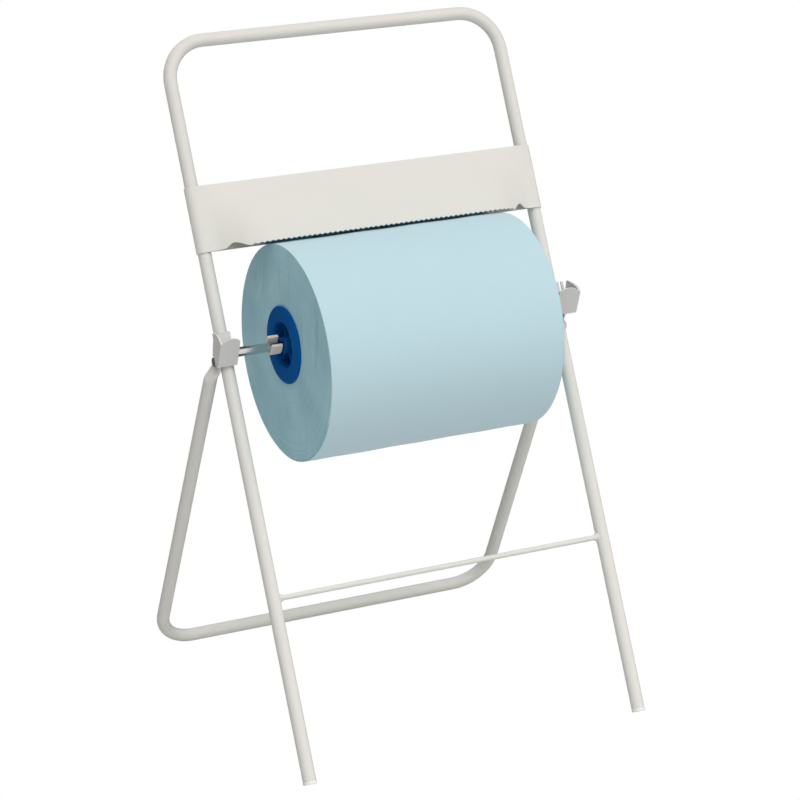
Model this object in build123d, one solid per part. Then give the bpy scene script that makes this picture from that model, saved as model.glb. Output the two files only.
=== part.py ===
from build123d import *
from math import cos, radians, sin, sqrt, tan
import os

# Floor stand for a wide paper roll: a leaning front frame carries a serrated tear plate and
# two cradles, and a rear frame folds on a bolt through each cradle.
# Millimetres, Z up, X across the stand, the user stands at -Y.

# Bent tubes
tube_diameter = 20.0
tube_wall = 1.5
leg_lean = 27.48
hand_room = 218.9
top_corner_radius = 62.0
rear_offset = 19.0
rear_lean = 24.43
rear_corner_radius = 60.0
pivot_height = 632.8

# Crossbar
crossbar_diameter = 8.0
crossbar_height = 277.0
crossbar_flare = 2.0
crossbar_flare_length = 6.0

# Feet
plug_rim = 0.3
plug_cap_thickness = 5.5
plug_edge_radius = 1.0
plug_stem_length = 18.0

# Tear plate
plate_thickness = 2.0
plate_height = 99.5
plate_clearance = 2.1798
fold_rise = 5.0
tip_drop = 3.5
plate_fade = 0.4
plate_hook_angle = 100.0
bulge_depth = 43.0
bulge_margin = 11.0
bulge_taper = 30.0
bulge_ramp = 44.0
bulge_top_ramp = 60.0
bulge_radius = 70.0
bulge_foot_radius = 25.0
lip_kick = 3.6
notch_land = 9.0
notch_width = 24.0
notch_height = 10.0
notch_radius = 3.0
tooth_count = 52
tooth_depth = 3.2
tooth_overhang = 27.0

# Tie plate
tie_thickness = 1.5
tie_height = 91.5

# Cradles
cradle_drop = 2.3
cradle_front_depth = 20.2
cradle_front_slope = 0.315
cradle_rim_height = 37.0
cradle_inner_rim_height = 38.8
cradle_crown_height = 44.0
cradle_crown_offset = 11.0
cradle_wall = 3.2
cradle_back_wall = 3.0
cradle_back_height = 41.0
cradle_trim_depth = 12.0
flank_thickness = 3.0
flank_gap = 2.7
flank_front_height = 35.7
flank_top_height = 46.1
flank_top_depth = 3.6
flank_shoulder = 4.0
flank_waist_height = 22.0
flank_waist_depth = -0.7
flank_foot_height = 5.3
flank_foot_depth = -2.2
flank_trim = 4.0
flank_relief_radius = 9.2

# Pivot hardware
pivot_diameter = 8.0
hexagon_width = 13.0
hexagon_corner_diameter = 14.6
hexagon_chamfer = 0.9
pivot_head_height = 5.3
pivot_nut_height = 4.2
pivot_thread_end = 0.6
saddle_thickness = 1.5
saddle_diameter = 16.0
tang_thickness = 4.0
tang_width = 26.0
tang_length = 14.0
tang_blend = 22.0

# Axle and clips
axle_diameter = 14.0
axle_chamfer = 1.0
axle_depth = 14.3
axle_height = 15.5
clip_length = 16.5
clip_wall = 4.6
clip_slot = 13.2
clip_slot_angle = 61.0
clip_reach = 12.5
clip_stand_off = 5.0
clip_room = 44.95

# Core plugs
flange_diameter = 116.0
flange_thickness = 5.0
flange_round = 1.6
barrel_length = 72.0
barrel_wall = 4.5
hub_diameter = 24.0
hub_setback = 2.4
spoke_count = 6
spoke_width = 2.6
spoke_setback = 8.0
plug_floor_thickness = 3.0

# Paper roll
roll_width = 380.0
core_bore = 76.2
core_wall = 3.0
tight_diameter = 293.0
slack_cover = 2.7
slack_drop = 13.0
roll_shift = 3.5

# Clearances
fit_gap = 0.1
running_gap = 0.3
weld_gap = 0.05
overrun = 2.0
quarter_turn = 90
full_turn = 360

# Across the stand: the roll sets the plugs and clips, and they set the legs and cradles.
tube_radius = tube_diameter / 2
tube_bore_radius = tube_radius - tube_wall
axle_radius = axle_diameter / 2
roll_half = roll_width / 2
flange_face_x = roll_half + weld_gap + flange_thickness
hub_face_x = flange_face_x - hub_setback
clip_start_x = flange_face_x + clip_stand_off
cradle_wall_x = clip_start_x + clip_length + roll_shift + clip_room
cradle_crown_x = cradle_wall_x + cradle_crown_offset
leg_x = cradle_wall_x + tube_radius
rear_x = leg_x + rear_offset
tang_inner_x = leg_x + tube_radius + running_gap
tang_outer_x = tang_inner_x + tang_thickness
bolt_seat_x = tang_outer_x + running_gap
bolt_end_x = bolt_seat_x + pivot_head_height
nut_seat_x = leg_x - tube_radius - saddle_thickness
nut_end_x = nut_seat_x - pivot_nut_height
flank_inner_x = tang_outer_x + flank_gap
flank_outer_x = flank_inner_x + flank_thickness
bulge_half_width = leg_x - bulge_margin - bulge_ramp
bulge_top_half_width = bulge_half_width - bulge_taper
toothed_half_width = roll_half + tooth_overhang
tooth_pitch = 2 * toothed_half_width / tooth_count

# Up the legs: the roll's top sets the plate, and the plate sets the top of the frame.
lean_sin = sin(radians(leg_lean))
lean_cos = cos(radians(leg_lean))
slack_radius = tight_diameter / 2 + slack_drop + slack_cover
roll_centre = pivot_height - axle_depth * lean_sin + (axle_height - slack_drop) * lean_cos
tab_bottom = roll_centre + slack_radius + plate_clearance
plate_fold = tab_bottom + fold_rise
plate_tip = tab_bottom - tip_drop
plate_top = tab_bottom + plate_height
leg_reach = plate_top + hand_room
face_n = tube_radius + fit_gap + plate_thickness
fold_slope = lip_kick / (plate_fold - plate_tip)

# Front to back: the feet and the rear bar are as far from the middle as each other.
plug_radius = tube_radius + plug_rim
foot_core = (plug_radius - plug_edge_radius) * lean_sin + plug_edge_radius
foot_end = foot_core / lean_cos - plug_edge_radius
foot_front = plug_radius * lean_cos - foot_end * lean_sin
pivot_up = pivot_height * lean_cos
pivot_back = pivot_height * lean_sin
rear_reach = (pivot_up - tube_radius) / cos(radians(rear_lean))
rear_bar_back = pivot_back + rear_reach * sin(radians(rear_lean)) + tube_radius
leg_y = -(rear_bar_back - foot_front) / 2
axle_y = leg_y + pivot_back - axle_depth
axle_z = pivot_up + axle_height

# The leg plane runs up the front legs: local x is across, y up the leg and z out of its front.
leg_plane = Plane(origin=(0, leg_y, 0), x_dir=(1, 0, 0), z_dir=(0, -lean_cos, lean_sin))
# The rear plane runs down the rear legs from the pivots, with the same axes.
rear_plane = Plane(
    origin=(0, leg_y + pivot_back, pivot_up),
    x_dir=(1, 0, 0),
    z_dir=(0, -cos(radians(rear_lean)), -sin(radians(rear_lean))),
)


def side_plane(x: float) -> Plane:
    """Plane at a given x whose origin is the pivot, local x forward and local y up."""
    return Plane(origin=(x, leg_y + pivot_back, pivot_up), x_dir=(0, -1, 0), z_dir=(-1, 0, 0))


def side_slab(face: Sketch, x_inner: float, x_outer: float) -> Part:
    """A left-hand slab: a side outline from x = -x_inner out to x = -x_outer."""
    return extrude(side_plane(-x_inner) * face, amount=x_outer - x_inner)


def cross_rod(radius: float, x_from: float, x_to: float, forward: float = 0, up: float = 0) -> Part:
    """Round bar along x, placed forward of and above the pivot."""
    start = Plane(
        origin=(x_from, leg_y + pivot_back - forward, pivot_up + up),
        x_dir=(0, 1, 0),
        z_dir=(1, 0, 0),
    )
    return extrude(start * Circle(radius), amount=x_to - x_from)


def tube_section() -> Sketch:
    """Ring section of the bent tubes."""
    return Circle(tube_radius) - Circle(tube_bore_radius)


def pivot_hole(radius: float) -> Part:
    """Bar through both pivots, used as a cut."""
    reach = bolt_end_x + overrun
    return cross_rod(radius, -reach, reach)


def front_leg_bar(radius: float) -> Part:
    """Both front legs as solid bars, used to cut what seats on them."""
    bar = extrude(Plane.XZ * Circle(radius), amount=-leg_reach)
    return leg_plane.location * (Pos(-leg_x, 0, 0) * bar + Pos(leg_x, 0, 0) * bar)


def both_sides(part: Part) -> list[Part]:
    """A left-hand piece and its mirror image on the right."""
    return [part, mirror(part, about=Plane.YZ)]


def make_front_frame() -> Part:
    """One tube bent twice, with a bolt hole through each leg."""
    foot = foot_end + plug_cap_thickness
    corners = [(-leg_x, foot), (-leg_x, leg_reach), (leg_x, leg_reach), (leg_x, foot)]
    path = FilletPolyline(corners, radius=top_corner_radius)
    start = Plane(origin=(-leg_x, foot, 0), z_dir=(0, 1, 0))
    tube = sweep(start * tube_section(), path=path)
    return leg_plane.location * tube - pivot_hole(pivot_diameter / 2 + fit_gap)


def make_foot_plug() -> Part:
    """Push-in foot: a cap disc across the tube end and a ribbed stem inside it."""
    end = Plane(origin=(-leg_x, foot_end, 0), z_dir=(0, 1, 0))
    cap = extrude(end * Circle(plug_radius), amount=plug_cap_thickness)
    cap = fillet(cap.edges().sort_by(Axis.Y)[0], plug_edge_radius)
    stem_radius = tube_bore_radius - fit_gap
    seat = end.offset(plug_cap_thickness)
    stem = extrude(seat * Circle(stem_radius), amount=plug_stem_length)
    hollow = extrude(seat.offset(overrun) * Circle(stem_radius - tube_wall), amount=plug_stem_length)
    return leg_plane.location * (cap + (stem - hollow))


def make_crossbar() -> Part:
    """Thin rod welded between the front legs, flared where it meets them."""
    rod_radius = crossbar_diameter / 2
    half = leg_x - tube_radius
    flare = half - crossbar_flare_length
    outline = Polyline(
        (-leg_x, 0),
        (-leg_x, rod_radius + crossbar_flare),
        (-half, rod_radius + crossbar_flare),
        (-flare, rod_radius),
        (flare, rod_radius),
        (half, rod_radius + crossbar_flare),
        (leg_x, rod_radius + crossbar_flare),
        (leg_x, 0),
        close=True,
    )
    rod = revolve(make_face(outline), axis=Axis.X)
    rod = leg_plane.location * (Pos(0, crossbar_height, 0) * rod)
    return rod - front_leg_bar(tube_radius + weld_gap)


def make_rear_frame() -> Part:
    """Rear tube bent into a U, both ends pressed flat and drilled for the pivot bolts."""
    blend_start = -(tang_length + tang_blend)
    corners = [
        (-rear_x, blend_start),
        (-rear_x, -rear_reach),
        (rear_x, -rear_reach),
        (rear_x, blend_start),
    ]
    path = FilletPolyline(corners, radius=rear_corner_radius)
    start = Plane(origin=(-rear_x, blend_start, 0), z_dir=(0, -1, 0))
    tube = sweep(start * tube_section(), path=path)
    tang_x = (tang_inner_x + tang_outer_x) / 2
    flat_end = Plane(origin=(-tang_x, -tang_length, 0), x_dir=(1, 0, 0), z_dir=(0, 1, 0))
    round_end = Plane(origin=(-rear_x, blend_start, 0), x_dir=(1, 0, 0), z_dir=(0, 1, 0))
    blend = loft([
        round_end * Ellipse(tube_radius, tube_radius),
        flat_end * Ellipse(tang_thickness / 2, tang_width / 2),
    ])
    blend = blend - extrude(round_end * Circle(tube_bore_radius), amount=overrun)
    side = Plane(origin=(-tang_outer_x, 0, 0), x_dir=(0, 0, -1), z_dir=(1, 0, 0))
    tang_face = Circle(tang_width / 2) + Pos(0, -tang_length / 2) * Rectangle(tang_width, tang_length)
    tang = extrude(side * tang_face, amount=tang_thickness)
    end = blend + tang
    ends = end + mirror(end, about=Plane.YZ)
    return rear_plane.location * (tube + ends) - pivot_hole(pivot_diameter / 2 + fit_gap)


def plate_section(level: float, depth: float, half_width: float, ramp: float) -> Face:
    """Cross-section of the plate between the legs at one height, its middle pushed forward."""
    front = FilletPolyline(
        (-leg_x, level, face_n),
        (-half_width - ramp, level, face_n),
        (-half_width, level, face_n + depth),
        (half_width, level, face_n + depth),
        (half_width + ramp, level, face_n),
        (leg_x, level, face_n),
        radius=(bulge_foot_radius, bulge_radius, bulge_radius, bulge_foot_radius),
    )
    back = Pos(0, 0, -plate_thickness) * front
    ends = [Line(front @ share, back @ share) for share in (0, 1)]
    return Face(Wire(front.edges() + back.edges() + ShapeList(end.edge() for end in ends)))


def plate_hook() -> Part:
    """The plate's left end, rolled round the outside of the leg."""
    middle = tube_radius + fit_gap + plate_thickness / 2
    bend = CenterArc((-leg_x, 0), middle, quarter_turn, plate_hook_angle)
    strip = trace(bend, line_width=plate_thickness)
    base = Plane(origin=(0, tab_bottom, 0), x_dir=(1, 0, 0), z_dir=(0, -1, 0))
    return extrude(base * strip, amount=tab_bottom - plate_top)


def below_the_edge() -> Sketch:
    """Everything below the plate's lower edge: teeth, relief notches and end tabs."""
    floor = plate_tip - tube_diameter
    land_x = toothed_half_width + notch_land
    side = [
        (land_x, plate_tip),
        (land_x + notch_width / 2, plate_tip + notch_height),
        (land_x + notch_width, tab_bottom),
        (leg_x + tube_diameter, tab_bottom),
        (leg_x + tube_diameter, floor),
    ]
    teeth = []
    for tooth in range(tooth_count):
        left = -toothed_half_width + tooth * tooth_pitch
        teeth.append((left, plate_tip))
        teeth.append((left + tooth_pitch / 2, plate_tip + tooth_depth))
    teeth.append((toothed_half_width, plate_tip))
    left_side = [(-x, y) for x, y in reversed(side)]
    outline = make_face(Polyline(*left_side, *teeth, *side, close=True))
    peaks = outline.vertices().filter_by_position(
        Axis.Y, plate_tip + notch_height - weld_gap, plate_tip + notch_height + weld_gap
    )
    return fillet(peaks, notch_radius)


def make_tear_plate() -> Part:
    """Sheet hooked round both legs, pressed forward at the bottom, folded and serrated."""
    lowest = plate_tip - overrun
    lip_depth = bulge_depth + fold_slope * (plate_fold - lowest)
    top = plate_section(plate_top, plate_fade, bulge_top_half_width, bulge_top_ramp)
    fold = plate_section(plate_fold, bulge_depth, bulge_half_width, bulge_ramp)
    tip = plate_section(lowest, lip_depth, bulge_half_width, bulge_ramp)
    sheet = loft([top, fold], ruled=True) + loft([fold, tip], ruled=True)
    sheet = sheet - extrude(below_the_edge(), amount=bulge_depth * 2, both=True)
    hooks = both_sides(plate_hook())
    return leg_plane.location * (sheet + hooks[0] + hooks[1])


def make_tie_plate() -> Part:
    """Flat strip behind the tear plate that ties the two legs together."""
    front = face_n - plate_thickness - weld_gap
    back = front - tie_thickness
    half_width = leg_x - sqrt(tube_radius ** 2 - back ** 2) - fit_gap
    strip = Pos(0, tab_bottom + tie_height / 2, back) * Rectangle(2 * half_width, tie_height)
    return leg_plane.location * extrude(strip, amount=tie_thickness)


def leg_face(height: float, distance: float) -> tuple[float, float]:
    """Point at a height above the pivot, a distance in front of the leg's axis."""
    return ((distance - height * lean_sin) / lean_cos, height)


def front_face(height: float, inset: float) -> tuple[float, float]:
    """Point at a height on the cradle's leaning front wall, inset from its outer face."""
    return (cradle_front_depth + cradle_front_slope * height - inset, height)


def cradle_block() -> Sketch:
    """Side outline of the cradle: front wall, round seat for the axle and back wall."""
    back = tube_radius + fit_gap
    block = Polygon(
        front_face(-cradle_drop, 0),
        front_face(cradle_crown_height, 0),
        leg_face(cradle_back_height, back),
        leg_face(-cradle_drop, back),
        align=None,
    )
    above = 2 * cradle_crown_height
    seat = CenterArc((axle_depth, axle_height), axle_radius + fit_gap, 0, full_turn)
    mouth = Line(front_face(above, cradle_wall), leg_face(above, back + cradle_back_wall))
    return block - make_hull(seat.edges() + mouth.edges())


def flank_outline() -> Sketch:
    """Side outline of the outer flank, with a shoulder at the top and a bay for the bolt."""
    front = front_face(flank_front_height, 0)
    peak = (flank_top_depth, flank_top_height)
    shoulder = ((front[0] + peak[0]) / 2, (front[1] + peak[1]) / 2 + flank_shoulder)
    edge = ThreePointArc(front, shoulder, peak)
    sides = Polyline(
        peak,
        (flank_waist_depth, flank_waist_height),
        (flank_foot_depth, flank_foot_height),
        (flank_foot_depth, -cradle_drop),
        front_face(-cradle_drop, 0),
        front,
    )
    return make_face(edge.edges() + sides.edges()) - Circle(flank_relief_radius)


def behind_the_flank() -> Sketch:
    """Side outline of the space behind the flank, where the leg shows."""
    behind = -tube_diameter
    above = 2 * cradle_crown_height
    return Polygon(
        (flank_top_depth, above),
        (flank_top_depth, flank_top_height),
        (flank_waist_depth, flank_waist_height),
        (flank_foot_depth, flank_foot_height),
        (flank_foot_depth, behind),
        (2 * behind, behind),
        (2 * behind, above),
        align=None,
    )


def cradle_crown_cut() -> Part:
    """Everything above the arched top edge of the front wall."""
    outer = (-flank_inner_x, cradle_rim_height)
    crown = (-cradle_crown_x, cradle_crown_height)
    inner = (-cradle_wall_x, cradle_inner_rim_height)
    arch = ThreePointArc(outer, crown, inner)
    above = 2 * cradle_crown_height
    lid = Polyline(inner, (-cradle_wall_x, above), (-flank_inner_x, above), outer)
    plane = Plane(origin=(0, leg_y + pivot_back, pivot_up), x_dir=(1, 0, 0), z_dir=(0, -1, 0))
    outline = plane.offset(cradle_trim_depth) * make_face(arch.edges() + lid.edges())
    return extrude(outline, amount=above)


def make_cradle() -> Part:
    """Left cradle: an open trough for the axle end, closed on its outer side by a flank."""
    trough = side_slab(cradle_block(), cradle_wall_x, flank_inner_x) - cradle_crown_cut()
    flank = side_slab(flank_outline(), flank_inner_x, flank_outer_x)
    relief_radius = (tang_width / 2 + running_gap) / lean_cos
    relief = side_slab(Circle(relief_radius), tang_inner_x - running_gap, flank_inner_x)
    trim = side_slab(behind_the_flank(), flank_inner_x - flank_trim, flank_inner_x)
    return trough - relief - trim + flank


def hexagon_body(x_seat: float, x_end: float) -> Part:
    """Hexagon along x with the corners turned off at its free end."""
    outline = RegularPolygon(hexagon_width / 2, 6, major_radius=False)
    body = extrude(side_plane(x_seat) * outline, amount=x_seat - x_end)
    turned = cross_rod(hexagon_corner_diameter / 2, x_seat, x_end)
    rim = turned.edges().filter_by(GeomType.CIRCLE).filter_by_position(
        Axis.X, x_end - weld_gap, x_end + weld_gap
    )
    return body & chamfer(rim, hexagon_chamfer)


def make_pivot_bolt() -> Part:
    """Left pivot bolt: hexagon head outside the rear leg, shank through to the nut."""
    head = hexagon_body(-bolt_seat_x, -bolt_end_x)
    shank = cross_rod(pivot_diameter / 2, -bolt_seat_x, pivot_thread_end - nut_end_x)
    return head + shank


def make_pivot_nut() -> Part:
    """Hexagon nut on the inner side of the left leg."""
    bore = cross_rod(pivot_diameter / 2 + weld_gap, -nut_seat_x, -nut_end_x)
    return hexagon_body(-nut_seat_x, -nut_end_x) - bore


def make_saddle() -> Part:
    """Washer under the nut, hollowed to sit on the round leg."""
    washer = cross_rod(saddle_diameter / 2, -leg_x, -nut_seat_x)
    hollow = front_leg_bar(tube_radius + weld_gap)
    return washer - hollow - pivot_hole(pivot_diameter / 2 + fit_gap)


def make_axle() -> Part:
    """Polished bar that lies in the two cradles."""
    bar = cross_rod(axle_radius, -flank_inner_x, flank_inner_x, axle_depth, axle_height)
    ends = bar.edges().group_by(Axis.X)
    return chamfer(ends[0] + ends[-1], axle_chamfer)


def make_clip() -> Part:
    """Left snap clip: an open ring with two straight jaws that grips the axle."""
    outer = axle_radius + fit_gap + clip_wall
    reach = outer + clip_reach
    body = Circle(outer) + Pos(clip_reach / 2, 0) * Rectangle(clip_reach, 2 * outer)
    slot = Pos(reach / 2, 0) * Rectangle(reach, clip_slot)
    profile = body - Circle(axle_radius + fit_gap) - slot
    profile = Pos(axle_depth, axle_height) * (Rot(0, 0, clip_slot_angle) * profile)
    return side_slab(profile, clip_start_x, clip_start_x + clip_length)


def make_core_plug() -> Part:
    """Left core plug: a wide flange, a barrel inside the core and a spoked hub."""
    barrel_radius = core_bore / 2 - fit_gap
    mouth_radius = barrel_radius - barrel_wall
    bore_radius = axle_radius + fit_gap
    hub_radius = hub_diameter / 2
    inner_end = roll_half - barrel_length
    floor_end = inner_end + plug_floor_thickness
    seat = roll_half + weld_gap
    flange_radius = flange_diameter / 2
    profile = Polyline(
        (-inner_end, bore_radius),
        (-hub_face_x, bore_radius),
        (-hub_face_x, hub_radius),
        (-floor_end, hub_radius),
        (-floor_end, mouth_radius),
        (-flange_face_x, mouth_radius),
        (-flange_face_x, flange_radius),
        (-seat, flange_radius),
        (-seat, barrel_radius),
        (-inner_end, barrel_radius),
        close=True,
    )
    body = make_face(profile)
    face_end = body.vertices().sort_by(Axis.X)[:2]
    body = fillet(face_end.sort_by(Axis.Y)[-1], flange_round)
    body = Pos(0, axle_y, axle_z) * revolve(body, axis=Axis.X)
    embed = spoke_width / 2
    spoke_length = mouth_radius - hub_radius + 2 * embed
    spoke = Pos(hub_radius - embed + spoke_length / 2, 0) * Rectangle(spoke_length, spoke_width)
    spokes = Sketch() + [Rot(0, 0, turn * full_turn / spoke_count) * spoke for turn in range(spoke_count)]
    web = side_slab(Pos(axle_depth, axle_height) * spokes, inner_end, flange_face_x - spoke_setback)
    return body + web


def axle_ring(outer: float, inner: float, x_inner: float, x_outer: float) -> Part:
    """Left-hand ring about the axle between two distances from the middle."""
    section = Pos(axle_depth, axle_height) * (Circle(outer) - Circle(inner))
    return side_slab(section, x_inner, x_outer)


def make_slack_wraps() -> Part:
    """The loose outer layers of the roll, which hang lower than the axle."""
    section = Circle(tight_diameter / 2 + running_gap + weld_gap)
    outline = Pos(0, -slack_drop) * Circle(slack_radius) - section
    return side_slab(Pos(axle_depth, axle_height) * outline, -roll_half, roll_half)


def save(part: Part | list[Part], node: str) -> None:
    """Write one node; a list of pieces becomes one node of several solids."""
    shape = Compound(children=part) if isinstance(part, list) else part
    export_step(shape, f"parts/{node}.step")


os.makedirs("parts", exist_ok=True)
save(make_front_frame(), "front_frame")
save(make_crossbar(), "crossbar")
save(make_rear_frame(), "rear_frame")
save(make_tear_plate(), "tear_plate")
save(make_tie_plate(), "tie_plate")
save(make_axle(), "axle")
save(both_sides(make_pivot_bolt()), "pivot_bolts")
save(both_sides(make_pivot_nut()), "pivot_nuts")
save(both_sides(make_saddle()), "saddle_washers")
core_radius = core_bore / 2 + core_wall
slide = Pos(roll_shift, 0, 0)
for name, maker, place in (
    ("foot_plug", make_foot_plug, Pos(0, 0, 0)),
    ("cradle", make_cradle, Pos(0, 0, 0)),
    ("clip", make_clip, slide),
    ("core_plug", make_core_plug, slide),
):
    left, right = both_sides(maker())
    save(place * left, f"left_{name}")
    save(place * right, f"right_{name}")
save(slide * axle_ring(core_radius, core_bore / 2, -roll_half, roll_half), "core_tube")
winding = axle_ring(tight_diameter / 2, core_radius + fit_gap, -roll_half, roll_half)
save(slide * winding, "paper_roll")
save(slide * make_slack_wraps(), "slack_wraps")
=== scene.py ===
import logging
from dataclasses import dataclass, field
from enum import Enum
from math import atan2, copysign, cos, pi, radians, sin, sqrt, tan

import bmesh
import bpy
from mathutils import Matrix, Vector


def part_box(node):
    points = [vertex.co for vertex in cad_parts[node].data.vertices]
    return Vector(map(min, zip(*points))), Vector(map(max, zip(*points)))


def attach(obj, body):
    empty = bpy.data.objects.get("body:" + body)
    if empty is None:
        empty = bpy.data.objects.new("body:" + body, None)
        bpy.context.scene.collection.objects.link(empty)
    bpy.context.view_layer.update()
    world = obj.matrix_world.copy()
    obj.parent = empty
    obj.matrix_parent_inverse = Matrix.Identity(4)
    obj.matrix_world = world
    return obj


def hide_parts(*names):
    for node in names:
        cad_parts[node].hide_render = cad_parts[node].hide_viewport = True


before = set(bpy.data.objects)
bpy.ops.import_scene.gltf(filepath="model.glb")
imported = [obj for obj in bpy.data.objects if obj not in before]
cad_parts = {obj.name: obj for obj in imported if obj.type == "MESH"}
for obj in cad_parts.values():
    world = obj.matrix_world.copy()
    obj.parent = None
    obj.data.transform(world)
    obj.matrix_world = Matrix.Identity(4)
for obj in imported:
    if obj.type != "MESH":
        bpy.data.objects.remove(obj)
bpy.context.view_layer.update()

log = logging.getLogger("roll_stand")

Triple = tuple[float, float, float]
Socket = bpy.types.NodeSocket
Shape = bmesh.types.BMesh

# Places shared with the solids, in metres
LEG_LEAN = radians(27.48)
LEG_Y = -0.272813
LEG_X = 0.275
LEG_TOP = 1.1112
TUBE_RADIUS = 0.010
REAR_LEAN = radians(24.43)
REAR_X = 0.294
REAR_REACH = 0.60566
PIVOT_UP = 0.6328
CORE_RADIUS = 0.0412
TIGHT_RADIUS = 0.1465
SLACK_RADIUS = 0.1622
SLACK_DROP = 0.013
ROLL_HALF = 0.190
ROLL_SHIFT = 0.0035
FLANGE_FACE = 0.19505


def linear(red: int, green: int, blue: int) -> Triple:
    """Turn a screen colour into the linear colour that shaders take.

    Args:
        red: Screen red, 0 to 255.
        green: Screen green, 0 to 255.
        blue: Screen blue, 0 to 255.

    Returns:
        The linear colour.
    """
    def channel(value: int) -> float:
        """Linear value of one channel."""
        share = value / 255
        return share / 12.92 if share <= 0.04045 else ((share + 0.055) / 1.055) ** 2.4

    return channel(red), channel(green), channel(blue)


class Body(Enum):
    """The rigid bodies that pieces ride on."""

    STAND = "stand"
    REAR = "rear_leg"
    AXLE = "axle"
    ROLL = "roll"
    LEFT_CLIP = "left_clip"
    RIGHT_CLIP = "right_clip"


class Side(Enum):
    """Left and right of the stand, as the sign of x."""

    LEFT = -1
    RIGHT = 1

    @property
    def word(self) -> str:
        """The side's name in node names."""
        return self.name.lower()


def axle_centre() -> Vector:
    """Middle of the axle at rest, read from its node."""
    low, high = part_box("axle")
    return (low + high) / 2


def leg_point(x: float, up: float, out: float = 0.0) -> Vector:
    """Point in the leaning plane of the front legs.

    Args:
        x: Place across the stand.
        up: Distance up the legs from the floor.
        out: Distance in front of the legs' axes.

    Returns:
        The point in the stand's frame.
    """
    lean_sin, lean_cos = sin(LEG_LEAN), cos(LEG_LEAN)
    return Vector((x, LEG_Y + up * lean_sin - out * lean_cos, up * lean_cos + out * lean_sin))


LEG_UP = leg_point(0.0, 1.0) - leg_point(0.0, 0.0)
LEG_OUT = leg_point(0.0, 0.0, 1.0) - leg_point(0.0, 0.0)


def rear_point(x: float, down: float) -> Vector:
    """Point in the plane of the rear legs.

    Args:
        x: Place across the stand.
        down: Distance down the legs from the pivots.

    Returns:
        The point in the stand's frame.
    """
    pivot = leg_point(x, PIVOT_UP)
    return pivot + Vector((0.0, sin(REAR_LEAN), -cos(REAR_LEAN))) * down


def smooth_step(low: float, high: float, value: float) -> float:
    """Share from 0 at low to 1 at high, level at both ends."""
    share = min(max((value - low) / (high - low), 0.0), 1.0)
    return share * share * (3.0 - 2.0 * share)


def grid_step(corner: float, count: int) -> int:
    """Step, from 0 to count, that a corner at -1 to 1 of a grid of size 1 has."""
    return round((corner + 1.0) / 2.0 * count)


class Graph:
    """Node tree of a material, world or group, with short calls to add and join nodes."""

    def __init__(self, tree: bpy.types.NodeTree) -> None:
        """Keep the tree that nodes are added to."""
        self.tree = tree

    def add(self, kind: str, values: dict | None = None, **settings: object) -> bpy.types.Node:
        """Add a node.

        Args:
            kind: Blender's node type.
            values: Socket values or links, by socket name or index.
            settings: Properties of the node itself.

        Returns:
            The new node.
        """
        node = self.tree.nodes.new(kind)
        for key, value in settings.items():
            setattr(node, key, value)
        for key, value in (values or {}).items():
            if isinstance(value, Socket):
                self.tree.links.new(value, node.inputs[key])
            else:
                node.inputs[key].default_value = value
        return node

    def object_place(self) -> Socket:
        """Add a read-out of the place in the object's own frame."""
        return self.add("ShaderNodeTexCoord").outputs["Object"]

    def maths(self, operation: str, first: Socket | float, second: Socket | float = 0.0) -> Socket:
        """Add a Math node and return its result."""
        return self.add("ShaderNodeMath", {0: first, 1: second}, operation=operation).outputs[0]

    def mix(self, share: Socket, first: Socket | tuple, second: Socket | tuple) -> Socket:
        """Mix two colours and return the result."""
        node = self.add("ShaderNodeMix", {0: share, 6: first, 7: second}, data_type="RGBA")
        return node.outputs[2]

    def stretch(self, place: Socket, scale: Triple, turn: Triple = (0.0, 0.0, 0.0)) -> Socket:
        """Turn and scale the place at which a pattern is read."""
        values = {"Vector": place, "Rotation": turn, "Scale": scale}
        return self.add("ShaderNodeMapping", values).outputs[0]

    def noise(self, place: Socket, scale: Socket | float, detail: float, **more: float) -> Socket:
        """Add a noise pattern.

        Args:
            place: Where the pattern is read.
            scale: How fine it is.
            detail: Its levels of detail.
            more: Its other sockets, by name.

        Returns:
            The pattern's values, about 0.5.
        """
        values = {"Vector": place, "Scale": scale, "Detail": detail, **more}
        return self.add("ShaderNodeTexNoise", values).outputs["Fac"]

    def spread(
        self, value: Socket, low: float, high: float, first: float = 0.0, last: float = 1.0
    ) -> Socket:
        """Spread a range of values over another range.

        Args:
            value: The value.
            low: Value that gives first.
            high: Value that gives last.
            first: Result at low and below.
            last: Result at high and above.

        Returns:
            The result.
        """
        values = {
            "Value": value, "From Min": low, "From Max": high, "To Min": first, "To Max": last,
        }
        return self.add("ShaderNodeMapRange", values).outputs[0]

    def bump(
        self,
        height: Socket,
        strength: Socket | float,
        depth: Socket | float,
        under: Socket | None = None,
    ) -> Socket:
        """Add a bump.

        Args:
            height: Values that stand for the height.
            strength: Share of the bump that shows.
            depth: Height of a value of 1.
            under: Normal of a bump that lies under this one.

        Returns:
            The normal.
        """
        values = {"Height": height, "Strength": strength, "Distance": depth}
        if under is not None:
            values["Normal"] = under
        return self.add("ShaderNodeBump", values).outputs["Normal"]


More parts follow.
